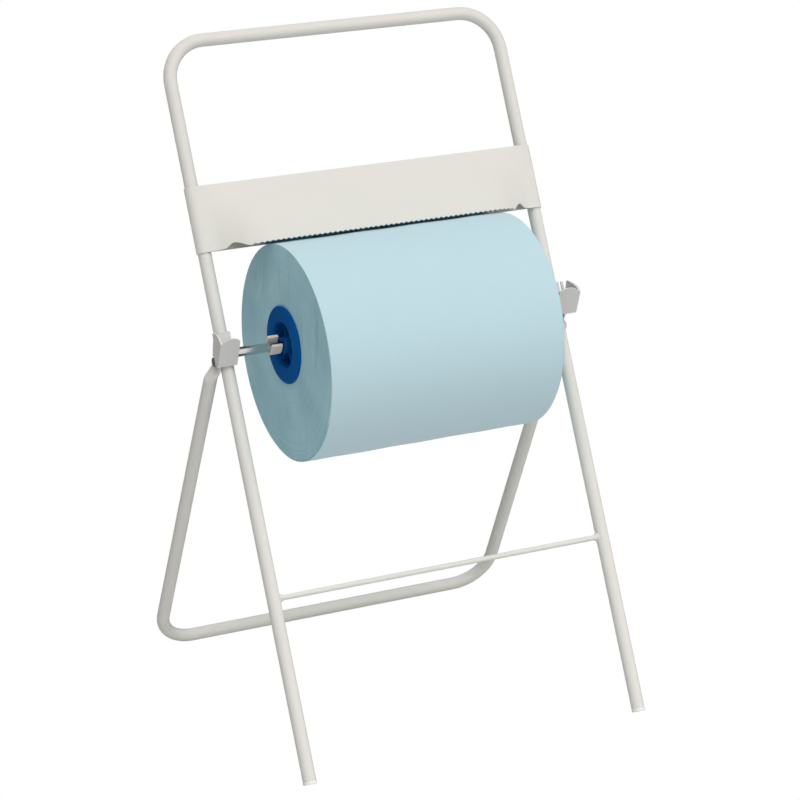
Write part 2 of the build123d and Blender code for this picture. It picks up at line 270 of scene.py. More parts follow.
class SharedGroups:
    """Shader node groups that several finishes use, each built once."""

    def __init__(self) -> None:
        """Build every shared group."""
        self.mottle = self._build_mottle()
        self.peel = self._build_peel()

    @staticmethod
    def _new(
        name: str, inputs: dict[str, float | Triple], output: tuple[str, str]
    ) -> bpy.types.NodeTree:
        """Make an empty group with its sockets.

        Args:
            name: The group's name.
            inputs: Socket names and their starting values.
            output: Name and socket type of what the group puts out.

        Returns:
            The group's node tree.
        """
        tree = bpy.data.node_groups.new(name, "ShaderNodeTree")
        for key, value in inputs.items():
            kind = "NodeSocketColor" if isinstance(value, tuple) else "NodeSocketFloat"
            socket = tree.interface.new_socket(name=key, in_out="INPUT", socket_type=kind)
            socket.default_value = (*value, 1.0) if isinstance(value, tuple) else value
        tree.interface.new_socket(name=output[0], in_out="OUTPUT", socket_type=output[1])
        return tree

    def _build_mottle(self) -> bpy.types.NodeTree:
        """Slow light and dark patches over a base colour.

        Returns:
            The group's node tree.
        """
        inputs = {"Base": (0.5, 0.5, 0.5), "Scale": 20.0, "Amount": 0.05}
        tree = self._new("slow_mottle", inputs, ("Colour", "NodeSocketColor"))
        graph = Graph(tree)
        ends = graph.add("NodeGroupInput").outputs
        patches = graph.noise(graph.object_place(), ends["Scale"], 5.0)
        lift = graph.maths("MULTIPLY", graph.maths("SUBTRACT", patches, 0.5), ends["Amount"])
        values = {0: ends["Base"], "Scale": graph.maths("ADD", lift, 1.0)}
        scaled = graph.add("ShaderNodeVectorMath", values, operation="SCALE")
        graph.add("NodeGroupOutput", {"Colour": scaled.outputs["Vector"]})
        return tree

    def _build_peel(self) -> bpy.types.NodeTree:
        """Fine rounded bumps, as on powder coat and moulded plastic.

        Returns:
            The group's node tree.
        """
        inputs = {"Scale": 900.0, "Strength": 0.05, "Distance": 0.0003}
        tree = self._new("fine_peel", inputs, ("Normal", "NodeSocketVector"))
        graph = Graph(tree)
        ends = graph.add("NodeGroupInput").outputs
        grain = graph.noise(graph.object_place(), ends["Scale"], 2.0)
        normal = graph.bump(grain, ends["Strength"], ends["Distance"])
        graph.add("NodeGroupOutput", {"Normal": normal})
        return tree


@dataclass(frozen=True)
class Finish:
    """One finish of the stand, with the values that its shader takes."""

    name: str
    slot: str
    colour: Triple
    roughness: float
    metallic: float = 0.0
    mottle_scale: float = 20.0
    mottle_amount: float = 0.05
    peel_scale: float = 900.0
    peel_strength: float = 0.05
    specular: float = 0.5
    sheen: float = 0.0

    def material(self, groups: SharedGroups) -> bpy.types.Material:
        """Build the finish.

        Args:
            groups: The shared node groups.

        Returns:
            The material.
        """
        material = bpy.data.materials.new(self.name)
        material.use_nodes = True
        material.node_tree.nodes.clear()
        graph = Graph(material.node_tree)
        shader = graph.add("ShaderNodeBsdfPrincipled", {
            "Base Color": self.paint(graph, groups),
            "Roughness": self.roughness,
            "Metallic": self.metallic,
            "Specular IOR Level": self.specular,
            "Sheen Weight": self.sheen,
            "Normal": self.relief(graph, groups),
        })
        graph.add("ShaderNodeOutputMaterial", {"Surface": shader.outputs[0]})
        return material

    def paint(self, graph: Graph, groups: SharedGroups) -> Socket:
        """Base colour with slow mottling.

        Args:
            graph: The material's nodes.
            groups: The shared node groups.

        Returns:
            The colour.
        """
        values = {
            "Base": (*self.colour, 1.0), "Scale": self.mottle_scale, "Amount": self.mottle_amount,
        }
        return graph.add("ShaderNodeGroup", values, node_tree=groups.mottle).outputs["Colour"]

    def relief(self, graph: Graph, groups: SharedGroups) -> Socket:
        """Fine surface bumps."""
        values = {"Scale": self.peel_scale, "Strength": self.peel_strength}
        return graph.add("ShaderNodeGroup", values, node_tree=groups.peel).outputs["Normal"]


@dataclass(frozen=True)
class PaintWithPaintedShade(Finish):
    """Powder coat with a painted blue shade over the width of the roll, standing in for the shade
    and blue light reflected from the roll.
    """

    # Tint of the painted blue shade: light reflected from the roll into the shade under the plate,
    # painted into the colour.
    painted_shade_tint: Triple = linear(120, 200, 220)
    patch_scale: float = 60.0
    ragged: float = 0.02
    fade: float = 0.012

    def paint(self, graph: Graph, groups: SharedGroups) -> Socket:
        """Paint with the painted blue shade over the width of the roll.

        Args:
            graph: The material's nodes.
            groups: The shared node groups.

        Returns:
            The colour.
        """
        plain = super().paint(graph, groups)
        place = graph.object_place()
        across = graph.add("ShaderNodeSeparateXYZ", {"Vector": place}).outputs["X"]
        offset = graph.maths("ABSOLUTE", graph.maths("SUBTRACT", across, ROLL_SHIFT))
        patches = graph.noise(place, self.patch_scale, 3.0)
        reach = graph.maths("ADD", offset, graph.maths("MULTIPLY", patches, self.ragged))
        # Mask of the painted blue shade: full over the roll's width, fading out past its ends.
        painted_shade_share = graph.spread(reach, ROLL_HALF, ROLL_HALF + self.fade, 1.0, 0.0)
        return graph.mix(painted_shade_share, plain, (*self.painted_shade_tint, 1.0))


@dataclass(frozen=True)
class WoundEdge(Finish):
    """Cut end of the wound paper: fine rings of layers with soft upright smudges."""

    dark: Triple = linear(142, 186, 198)
    ring_scale: Triple = (1.2, 70.0, 1.0)
    ring_share: float = 0.55
    cloud_scale: float = 14.0
    smudge: Triple = linear(118, 150, 158)
    smudge_share: float = 0.3
    streak_scale: Triple = (1.0, 60.0, 7.0)
    patch_scale: float = 9.0
    edge_scale: Triple = (3.0, 119.0, 1.0)
    edge_bump: tuple[float, float] = (0.35, 0.0008)

    def paint(self, graph: Graph, groups: SharedGroups) -> Socket:
        """Rings that follow the layers, from the piece's own layer map.

        Args:
            graph: The material's nodes.
            groups: The shared node groups; not used.

        Returns:
            The colour.
        """
        place = graph.object_place()
        layers = graph.add("ShaderNodeUVMap", uv_map="layers").outputs["UV"]
        layer_noise = graph.noise(graph.stretch(layers, self.ring_scale), 1.0, 6.0, Roughness=0.65)
        rings = graph.spread(layer_noise, 0.3, 0.7)
        clouds = graph.spread(graph.noise(place, self.cloud_scale, 3.0), 0.3, 0.72)
        ring_part = graph.maths("MULTIPLY", rings, self.ring_share)
        cloud_part = graph.maths("MULTIPLY", clouds, 1.0 - self.ring_share)
        light = graph.maths("ADD", ring_part, cloud_part)
        wound = graph.mix(light, (*self.dark, 1.0), (*self.colour, 1.0))
        return graph.mix(self._soiling(graph, place), wound, (*self.smudge, 1.0))

    def _soiling(self, graph: Graph, place: Socket) -> Socket:
        """Upright streaks that show in a few patches.

        Args:
            graph: The material's nodes.
            place: Where the patterns are read.

        Returns:
            The share of the smudge colour.
        """
        upright = graph.stretch(place, self.streak_scale)
        streaks = graph.spread(graph.noise(upright, 1.0, 4.0, Distortion=0.8), 0.52, 0.72)
        patches = graph.spread(graph.noise(place, self.patch_scale, 1.0), 0.48, 0.62)
        both = graph.maths("MULTIPLY", streaks, patches)
        return graph.maths("MULTIPLY", both, self.smudge_share)

    def relief(self, graph: Graph, groups: SharedGroups) -> Socket:
        """Layer edges that stand a little proud of each other.

        Args:
            graph: The material's nodes.
            groups: The shared node groups; not used.

        Returns:
            The normal.
        """
        layers = graph.add("ShaderNodeUVMap", uv_map="layers").outputs["UV"]
        edges = graph.noise(graph.stretch(layers, self.edge_scale), 1.0, 5.0)
        return graph.bump(edges, *self.edge_bump)


@dataclass(frozen=True)
class WoundFace(Finish):
    """Outer face of the soft paper: shallow creases, crinkles and fibres."""

    crease_scale: Triple = (3.0, 22.0, 22.0)
    crease_bump: tuple[float, float] = (0.3, 0.002)
    crinkle_scale: Triple = (26.0, 70.0, 20.0)
    crinkle_turn: Triple = (0.0, 0.0, 0.5)
    crinkle_bump: tuple[float, float] = (0.22, 0.001)
    fibre_scale: float = 700.0
    fibre_bump: tuple[float, float] = (0.12, 0.0003)

    def relief(self, graph: Graph, groups: SharedGroups) -> Socket:
        """Long creases along the roll, with slanting crinkles and fibres over them.

        Args:
            graph: The material's nodes.
            groups: The shared node groups; not used.

        Returns:
            The normal.
        """
        place = graph.object_place()
        creases = graph.noise(graph.stretch(place, self.crease_scale), 1.0, 3.0)
        slanted = graph.stretch(place, self.crinkle_scale, self.crinkle_turn)
        crinkles = graph.noise(slanted, 1.0, 4.0, Distortion=0.6)
        fibres = graph.noise(place, self.fibre_scale, 4.0)
        creased = graph.bump(creases, *self.crease_bump)
        crinkled = graph.bump(crinkles, *self.crinkle_bump, creased)
        return graph.bump(fibres, *self.fibre_bump, crinkled)


class Palette:
    """Every finish of the stand, built once."""

    def __init__(self) -> None:
        """Build the groups and the finishes."""
        groups = SharedGroups()
        white = linear(219, 217, 210)
        coat = {"mottle_amount": 0.03, "peel_strength": 0.06}
        finishes = (
            Finish("powder_coat", "white_paint", white, 0.42, specular=0.3, **coat),
            # Paint with painted blue shade, for the strip's face towards the roll.
            PaintWithPaintedShade("paint_with_painted_shade", "white_paint", white, 0.45, specular=0.2, **coat),
            Finish("cradle_plastic", "white_paint", linear(213, 210, 206), 0.45,
                   specular=0.3, **coat),
            Finish("foot_plastic", "white_plastic", linear(232, 231, 228), 0.5,
                   mottle_amount=0.03),
            Finish("blackened_steel", "dark_steel", (0.33, 0.35, 0.32), 0.25,
                   metallic=0.6, mottle_amount=0.5, mottle_scale=300.0),
            Finish("washer_plastic", "grey_plastic", linear(205, 204, 200), 0.5),
            Finish("polished_bar", "polished_steel", (0.66, 0.66, 0.65), 0.14,
                   metallic=1.0, mottle_amount=0.06, mottle_scale=120.0, peel_strength=0.02),
            Finish("clip_plastic", "cream_plastic", linear(222, 214, 200), 0.38,
                   mottle_amount=0.04, specular=0.4),
            Finish("plug_plastic", "blue_plastic", (0.0, 0.09, 0.32), 0.34,
                   mottle_amount=0.1, mottle_scale=40.0, specular=0.03),
            Finish("core_board", "core_card", linear(150, 118, 84), 0.85,
                   mottle_amount=0.2, mottle_scale=90.0, peel_strength=0.2),
            WoundFace("paper_face", "blue_paper", linear(188, 214, 221), 0.82,
                      mottle_amount=0.05, mottle_scale=9.0, sheen=0.1, specular=0.25),
            WoundEdge("paper_edge", "blue_paper", linear(181, 218, 226), 0.9, specular=0.1),
        )
        self.slots = {finish.name: finish.slot for finish in finishes}
        self.materials = {finish.name: finish.material(groups) for finish in finishes}

    def dress(self, node: str, finish: str) -> None:
        """Give a CAD node one of the finishes.

        Args:
            node: The node's name.
            finish: The finish's name.
        """
        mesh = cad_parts[node].data
        mesh.materials.clear()
        mesh.materials.append(self.materials[finish])


def mesh_object(mesh: Shape, name: str) -> bpy.types.Object:
    """Turn a bmesh into an object of the scene.

    Args:
        mesh: The shape. It is freed.
        name: The object's name.

    Returns:
        The object.
    """
    data = bpy.data.meshes.new(name)
    mesh.to_mesh(data)
    mesh.free()
    item = bpy.data.objects.new(name, data)
    bpy.context.scene.collection.objects.link(item)
    return item


@dataclass
class Workshop:
    """Turns finished bmeshes into pieces that ride on the stand's bodies."""

    palette: Palette
    smooth_angle: float = radians(35)

    def piece(
        self, mesh: Shape, name: str, finishes: tuple[str, ...], body: Body, *nodes: str
    ) -> None:
        """Make a piece of a bmesh.

        Args:
            mesh: The shape, in the stand's frame. It is freed.
            name: The piece's name.
            finishes: Its finishes, in the order of its material indices.
            body: The body that it rides on.
            nodes: The CAD nodes that it stands for.
        """
        item = mesh_object(mesh, name)
        data = item.data
        for finish in finishes:
            data.materials.append(self.palette.materials[finish])
        data.shade_smooth()
        data.set_sharp_from_angle(angle=self.smooth_angle)
        item.modifiers.new("flat_faces", "WEIGHTED_NORMAL").keep_sharp = True
        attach(item, body.value)
        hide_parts(*nodes)
        log.info("%s: %d faces on %s", name, len(data.polygons), body.value)


@dataclass(frozen=True)
class Station:
    """One cross-section of a sweep: an oval about a centre, squarer as flatness falls."""

    centre: Vector
    wide: Vector
    thick: Vector
    flatness: float = 1.0


def grow_rings(mesh: Shape, around: int, count: int) -> list[list[bmesh.types.BMVert]]:
    """Grow a tube of unit rings that all lie on each other.

    Args:
        mesh: Where the rings go.
        around: Corners of each ring.
        count: Number of rings.

    Returns:
        The corners of each ring, in order.
    """
    first = bmesh.ops.create_circle(mesh, cap_ends=False, segments=around, radius=1.0)["verts"]
    loop = list(dict.fromkeys(edge for vert in first for edge in vert.link_edges))
    rings = [first]
    for _ in range(count - 1):
        grown = bmesh.ops.extrude_edge_only(mesh, edges=loop)["geom"]
        ring = [item for item in grown if isinstance(item, bmesh.types.BMVert)]
        fresh = set(ring)
        edges = [item for item in grown if isinstance(item, bmesh.types.BMEdge)]
        loop = [edge for edge in edges if set(edge.verts) <= fresh]
        rings.append(ring)
    return rings


def open_edges(mesh: Shape) -> list[bmesh.types.BMEdge]:
    """Edges with one face only, in order."""
    return [edge for edge in mesh.edges if len(edge.link_faces) == 1]


def sweep(mesh: Shape, stations: list[Station], around: int) -> None:
    """Sweep ovals from station to station and close both ends.

    Args:
        mesh: Where the sweep goes.
        stations: The cross-sections, in order.
        around: Corners of each cross-section.
    """
    rings = grow_rings(mesh, around, len(stations))
    for verts, station in zip(rings, stations):
        for vert in verts:
            angle = atan2(vert.co.y, vert.co.x)
            wide = copysign(abs(cos(angle)) ** station.flatness, cos(angle))
            thick = copysign(abs(sin(angle)) ** station.flatness, sin(angle))
            vert.co = station.centre + station.wide * wide + station.thick * thick
    bmesh.ops.holes_fill(mesh, edges=open_edges(mesh), sides=around)
    bmesh.ops.recalc_face_normals(mesh, faces=mesh.faces)


def lathe(
    mesh: Shape, profile: list[tuple[float, float]], centre: Vector, axis: Vector, steps: int
) -> None:
    """Turn a closed profile about an axis.

    Args:
        mesh: Where the turned shape goes.
        profile: Corners as (distance along the axis, distance from the axis).
        centre: Where the axis starts.
        axis: Direction of the axis.
        steps: Number of steps round.
    """
    along = axis.normalized()
    side = along.orthogonal().normalized()
    before = set(mesh.verts)
    verts = [mesh.verts.new(centre + along * reach + side * radius) for reach, radius in profile]
    pairs = zip(verts, verts[1:] + verts[:1])
    edges = [mesh.edges.new(pair) for pair in pairs]
    bmesh.ops.spin(
        mesh,
        geom=verts + edges,
        cent=centre,
        axis=along,
        angle=2 * pi,
        steps=steps,
        use_merge=True,
    )
    fresh = [vert for vert in mesh.verts if vert not in before]
    bmesh.ops.remove_doubles(mesh, verts=fresh, dist=1e-6)
    bmesh.ops.recalc_face_normals(mesh, faces=mesh.faces)


def sharp_edges(mesh: Shape, angle: float) -> list[bmesh.types.BMEdge]:
    """Edges whose two faces meet at more than an angle."""
    joined = [edge for edge in mesh.edges if len(edge.link_faces) == 2]
    return [edge for edge in joined if edge.calc_face_angle() > angle]


def bevel(mesh: Shape, edges: list[bmesh.types.BMEdge], width: float, segments: int) -> None:
    """Round some edges of a shape.

    Args:
        mesh: The shape.
        edges: The edges.
        width: How far the rounding reaches from an edge.
        segments: Steps across the rounding.
    """
    bmesh.ops.bevel(
        mesh,
        geom=edges,
        offset=width,
        offset_type="OFFSET",
        affect="EDGES",
        segments=segments,
        profile=0.5,
        clamp_overlap=True,
        material=-1,
    )


def round_edges(mesh: Shape, width: float, segments: int, angle: float = radians(30)) -> None:
    """Round every edge whose faces meet at more than an angle."""
    bevel(mesh, sharp_edges(mesh, angle), width, segments)


def node_copy(node: str) -> Shape:
    """Copy of a node's mesh, with its triangles joined into clean faces.

    Args:
        node: The node's name.

    Returns:
        The copy.
    """
    mesh = bmesh.new()
    mesh.from_mesh(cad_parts[node].data)
    bmesh.ops.remove_doubles(mesh, verts=mesh.verts, dist=1e-5)
    bmesh.ops.dissolve_limit(mesh, angle_limit=radians(1), verts=mesh.verts, edges=mesh.edges)
    bmesh.ops.recalc_face_normals(mesh, faces=mesh.faces)
    return mesh


def bent_path(
    corners: list[Vector], radius: float, steps: int = 14
) -> list[tuple[Vector, Vector]]:
    """Straight runs joined by round bends.

    Args:
        corners: Ends and corners of the path.
        radius: Bend radius at every corner.
        steps: Steps round each bend.

    Returns:
        Points with their directions, in order.
    """
    first = (corners[1] - corners[0]).normalized()
    path = [(corners[0], first)]
    for before, corner, after in zip(corners, corners[1:], corners[2:]):
        back, on = (before - corner).normalized(), (after - corner).normalized()
        half = back.angle(on) / 2
        start = corner + back * radius / tan(half)
        middle = corner + (back + on).normalized() * radius / sin(half)
        normal = (-back).cross(on).normalized()
        for step in range(steps + 1):
            turn = Matrix.Rotation((pi - 2 * half) * step / steps, 3, normal)
            path.append((middle + turn @ (start - middle), turn @ -back))
    path.append((corners[-1], (corners[-1] - corners[-2]).normalized()))
    return path


@dataclass
class FrontFrame:
    """Bent tube with two legs, and the thin crossbar with its weld beads."""

    workshop: Workshop
    bend: float = 0.062
    foot: float = 0.0106
    around: int = 40
    bar_up: float = 0.277
    bar_radius: float = 0.004
    bar_around: int = 24
    bar_bite: float = 0.2
    bead: float = 0.0026
    bead_steps: tuple[tuple[float, float], ...] = (
        (0.0, 1.0), (0.003, 1.0), (0.005, 0.35), (0.009, 0.0),
    )

    def build(self) -> None:
        """Build the frame and its crossbar."""
        mesh = bmesh.new()
        corners = [
            leg_point(-LEG_X, self.foot),
            leg_point(-LEG_X, LEG_TOP),
            leg_point(LEG_X, LEG_TOP),
            leg_point(LEG_X, self.foot),
        ]
        stations = [
            Station(point, LEG_OUT * TUBE_RADIUS, along.cross(LEG_OUT) * TUBE_RADIUS)
            for point, along in bent_path(corners, self.bend)
        ]
        sweep(mesh, stations, self.around)
        self.workshop.piece(mesh, "front_tube", ("powder_coat",), Body.STAND, "front_frame")
        self._crossbar()

    def _crossbar(self) -> None:
        """Build the crossbar with a small bead where each end meets its leg."""
        mesh = bmesh.new()
        reach = LEG_X - TUBE_RADIUS * (1.0 - self.bar_bite)
        left = [(-reach + step, self.bead * share) for step, share in self.bead_steps]
        stations = []
        for place, more in left + [(-place, more) for place, more in reversed(left)]:
            radius = self.bar_radius + more
            centre = leg_point(place, self.bar_up)
            stations.append(Station(centre, LEG_UP * radius, LEG_OUT * radius))
        sweep(mesh, stations, self.bar_around)
        self.workshop.piece(mesh, "cross_rod", ("powder_coat",), Body.STAND, "crossbar")


@dataclass
class RearFrame:
    """Rear tube bent into a U, its two ends pressed flat round the pivot bolts."""

    workshop: Workshop
    bend: float = 0.060
    around: int = 40
    tang_x: float = 0.2873
    tang_half: float = 0.0019
    tang_width: float = 0.0129
    tang_flatness: float = 0.6
    tip_width: float = 0.0012
    tip_steps: int = 10
    blend_from: float = 0.008
    blend_to: float = 0.036
    blend_steps: int = 13
    blend_swell: float = 1.25

    def build(self) -> None:
        """Build the frame."""
        mesh = bmesh.new()
        corners = [
            rear_point(-REAR_X, self.blend_to),
            rear_point(-REAR_X, REAR_REACH),
            rear_point(REAR_X, REAR_REACH),
            rear_point(REAR_X, self.blend_to),
        ]
        normal = Vector((0.0, cos(REAR_LEAN), sin(REAR_LEAN)))
        tube = [
            Station(point, normal * TUBE_RADIUS, along.cross(normal) * TUBE_RADIUS)
            for point, along in bent_path(corners, self.bend)
        ]
        left, right = self._tang(Side.LEFT, normal), self._tang(Side.RIGHT, normal)
        sweep(mesh, left + tube + right[::-1], self.around)
        self.workshop.piece(mesh, "rear_tube", ("powder_coat",), Body.REAR, "rear_frame")

    def _tang(self, side: Side, normal: Vector) -> list[Station]:
        """Stations from the rounded tip of a pressed end down to the round tube.

        Args:
            side: Which end.
            normal: Direction square to the rear legs' plane.

        Returns:
            The stations, tip first.
        """
        across = Vector((-side.value, 0.0, 0.0))
        stations = []
        for step in range(self.tip_steps):
            angle = pi / 2 * step / self.tip_steps
            place = rear_point(side.value * self.tang_x, -self.tang_width * cos(angle))
            width = max(self.tang_width * sin(angle), self.tip_width)
            wide, thick = normal * width, across * self.tang_half
            stations.append(Station(place, wide, thick, self.tang_flatness))
        for step in range(self.blend_steps):
            down = self.blend_to * step / self.blend_steps
            share = smooth_step(self.blend_from, self.blend_to, down)
            x = self.tang_x + (REAR_X - self.tang_x) * share
            width = self.tang_width + (TUBE_RADIUS - self.tang_width) * share
            half = self.tang_half + (TUBE_RADIUS - self.tang_half) * share ** self.blend_swell
            flatness = self.tang_flatness + (1.0 - self.tang_flatness) * sqrt(share)
            place = rear_point(side.value * x, down)
            stations.append(Station(place, normal * width, across * half, flatness))
        return stations


@dataclass
class TearPlate:
    """Serrated sheet hooked round both legs, pushed forward below, and the strip behind it."""

    workshop: Workshop
    thickness: float = 0.002
    seat: float = 0.0001
    top: float = 0.8923
    fold: float = 0.7978
    tip: float = 0.7893
    tab: float = 0.7928
    depth: float = 0.043
    kick: float = 0.0036
    half_width: float = 0.204
    ramp: float = 0.058
    crest_radius: float = 0.085
    foot_radius: float = 0.036
    hook_angle: float = radians(100)
    hook_steps: int = 12
    flat_steps: int = 40
    teeth: int = 52
    tooth: float = 0.0021
    tooth_steps: int = 4
    toothed_half: float = 0.217
    notch_x: float = 0.238
    notch_up: float = 0.0100
    notch_end: float = 0.250
    rows: int = 28
    row_bias: float = 1.25
    rounding: float = 0.00045
    strip_low: float = 0.7928
    strip_high: float = 0.8843
    strip_back: float = 0.00855
    strip_front: float = 0.01005
    strip_rounding: float = 0.0004

    def build(self) -> None:
        """Build the plate and the strip behind it."""
        columns = self._columns()
        last = len(columns) - 1
        mesh = bmesh.new()
        bmesh.ops.create_grid(mesh, x_segments=last, y_segments=self.rows, size=1.0)
        for vert in mesh.verts:
            column = columns[grid_step(vert.co.x, last)]
            row = grid_step(vert.co.y, self.rows) / self.rows
            vert.co = self._place(column, row ** self.row_bias)
        bmesh.ops.recalc_face_normals(mesh, faces=mesh.faces)
        bmesh.ops.solidify(mesh, geom=mesh.faces[:], thickness=self.thickness)
        bmesh.ops.recalc_face_normals(mesh, faces=mesh.faces)
        round_edges(mesh, self.rounding, 2, radians(60))
        self.workshop.piece(mesh, "serrated_plate", ("powder_coat",), Body.STAND, "tear_plate")
        self._strip()

    def _columns(self) -> list[tuple[float, float]]:
        """Columns of the sheet, from left to right.

        Returns:
            Each column as (x, turn round the leg).
        """
        hook = [
            (-LEG_X, self.hook_angle * (1.0 - step / self.hook_steps))
            for step in range(self.hook_steps)
        ]
        flat = [
            (-LEG_X + (LEG_X - self.toothed_half) * step / self.flat_steps, 0.0)
            for step in range(self.flat_steps)
        ]
        count = self.tooth_steps * self.teeth
        toothed = [
            (self.toothed_half * (2.0 * step / count - 1.0), 0.0) for step in range(count + 1)
        ]
        left = hook + flat
        return left + toothed + [(-x, -turn) for x, turn in reversed(left)]

    def _place(self, column: tuple[float, float], row: float) -> Vector:
        """Point of the sheet's front face.

        Args:
            column: The point's column, as (x, turn round the leg).
            row: 0 at the lower edge to 1 at the top.

        Returns:
            The point in the stand's frame.
        """
        x, turn = column
        low = self._lower_edge(x) if turn == 0.0 else self.tab
        up = low + (self.top - low) * row
        radius = TUBE_RADIUS + self.seat + self.thickness
        if turn:
            return leg_point(x - sin(turn) * radius, up, cos(turn) * radius)
        bulge = self._bulge(abs(x))
        share = (self.top - up) / (self.top - self.fold)
        out = bulge * min(share, 1.0)
        if up < self.fold:
            below = (self.fold - up) / (self.fold - self.tip)
            out += self.kick * below * min(bulge / self.depth, 1.0)
        return leg_point(x, up, radius + out)

    def _bulge(self, x: float) -> float:
        """How far the fold is pushed forward.

        Args:
            x: Distance from the stand's middle.

        Returns:
            The distance from the flat sheet: a crest, a straight ramp and a rounded foot.
        """
        angle = atan2(self.depth, self.ramp)
        foot_reach = self.foot_radius * tan(angle / 2)
        crest_reach = self.crest_radius * tan(angle / 2)
        foot_x = self.half_width + self.ramp
        if x >= foot_x + foot_reach:
            return 0.0
        if x > foot_x - foot_reach * cos(angle):
            run = foot_x + foot_reach - x
            return self.foot_radius - sqrt(self.foot_radius ** 2 - run ** 2)
        if x > self.half_width + crest_reach * cos(angle):
            return (foot_x - x) * tan(angle)
        if x > self.half_width - crest_reach:
            run = x - self.half_width + crest_reach
            return self.depth - self.crest_radius + sqrt(self.crest_radius ** 2 - run ** 2)
        return self.depth

    def _lower_edge(self, x: float) -> float:
        """Height of the lower edge, with its teeth, rounded notches and end tabs.

        Args:
            x: Place across the stand.

        Returns:
            The distance up the legs.
        """
        side = abs(x)
        if side <= self.toothed_half + 1e-6:
            pitch = 2 * self.toothed_half / self.teeth
            share = ((x + self.toothed_half) / pitch) % 1.0
            return self.tip + self.tooth * (1.0 - abs(2.0 * share - 1.0))
        if side < self.notch_x:
            share = smooth_step(self.toothed_half, self.notch_x, side)
            return self.tip + self.notch_up * share
        if side < self.notch_end:
            share = 1.0 - smooth_step(self.notch_x, self.notch_end, side)
            return self.tab + (self.tip + self.notch_up - self.tab) * share
        return self.tab

    def _strip(self) -> None:
        """Build the strip behind the plate, with painted blue shade on the face towards the roll.
        """
        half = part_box("tie_plate")[1].x
        mesh = bmesh.new()
        bmesh.ops.create_cube(mesh, size=1.0)
        for vert in mesh.verts:
            up = self.strip_low if vert.co.z < 0 else self.strip_high
            out = self.strip_back if vert.co.y > 0 else self.strip_front
            vert.co = leg_point(copysign(half, vert.co.x), up, out)
        bmesh.ops.recalc_face_normals(mesh, faces=mesh.faces)
        round_edges(mesh, self.strip_rounding, 2)
        for face in mesh.faces:
            # The face towards the roll gets the paint with the painted blue shade.
            face.material_index = 1 if face.normal.dot(LEG_OUT) > 0.9 else 0
        finishes = ("powder_coat", "paint_with_painted_shade")
        self.workshop.piece(mesh, "backing_strip", finishes, Body.STAND, "tie_plate")


@dataclass
class Cradles:
    """The two cradles of the axle, and the bolts, nuts and washers of the pivots."""

    workshop: Workshop
    rounding: float = 0.0009
    rim_rounding: float = 0.0024
    wall_out: float = 0.012
    rim_up: float = 0.6650
    front_depth: float = 0.0202
    front_slope: float = 0.315
    spread_from: float = 0.0036
    spread_to: float = 0.028
    spread: dict[Side, float] = field(
        default_factory=lambda: {Side.LEFT: 0.0006, Side.RIGHT: 0.0068}
    )
    hardware: tuple[tuple[str, str, float], ...] = (
        ("pivot_bolts", "blackened_steel", 0.0004),
        ("pivot_nuts", "blackened_steel", 0.0004),
        ("saddle_washers", "washer_plastic", 0.0003),
    )

    def build(self) -> None:
        """Build both cradles and the pivot hardware."""
        for side in Side:
            self._cradle(side)
        for node, finish, width in self.hardware:
            mesh = node_copy(node)
            round_edges(mesh, width, 2)
            self.workshop.piece(mesh, f"{node}_rounded", (finish,), Body.STAND, node)

    def _cradle(self, side: Side) -> None:
        """Build one cradle from its node, its upper rim rounded more than its other edges."""
        node = f"{side.word}_cradle"
        mesh = node_copy(node)
        self._spread_wall(mesh, side)
        rim = self._rim(mesh)
        log.info("%s: %d rim edges", node, len(rim))
        if rim:
            bevel(mesh, rim, self.rim_rounding, 4)
        round_edges(mesh, self.rounding, 3, radians(28))
        name = f"{side.word}_cast_cradle"
        self.workshop.piece(mesh, name, ("cradle_plastic",), Body.STAND, node)

    def _spread_wall(self, mesh: Shape, side: Side) -> None:
        """Stretch the front wall outwards, less and less behind its front face.

        Args:
            mesh: The cradle.
            side: The cradle's side.
        """
        low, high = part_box(f"{side.word}_cradle")
        inner, outer = sorted((abs(low.x), abs(high.x)))
        pivot = leg_point(0.0, PIVOT_UP)
        for vert in mesh.verts:
            depth, height = pivot.y - vert.co.y, vert.co.z - pivot.z
            behind = self.front_depth + self.front_slope * height - depth
            fade = 1.0 - smooth_step(self.spread_from, self.spread_to, behind)
            share = (abs(vert.co.x) - inner) / (outer - inner)
            vert.co.x += side.value * self.spread[side] * share * fade

    def _rim(self, mesh: Shape) -> list[bmesh.types.BMEdge]:
        """Find the front edges of the wall's arched top and the flank's curved top.

        Args:
            mesh: The cradle.

        Returns:
            The edges.
        """
        edges = []
        for edge in sharp_edges(mesh, radians(40)):
            middle = (edge.verts[0].co + edge.verts[1].co) / 2
            out = (middle - leg_point(middle.x, 0.0)).dot(LEG_OUT)
            high = out > self.wall_out and middle.z > self.rim_up * cos(LEG_LEAN)
            forward = max(-face.normal.y for face in edge.link_faces) > 0.9
            upward = max(face.normal.z for face in edge.link_faces) > 0.5
            if high and forward and upward:
                edges.append(edge)
        return edges


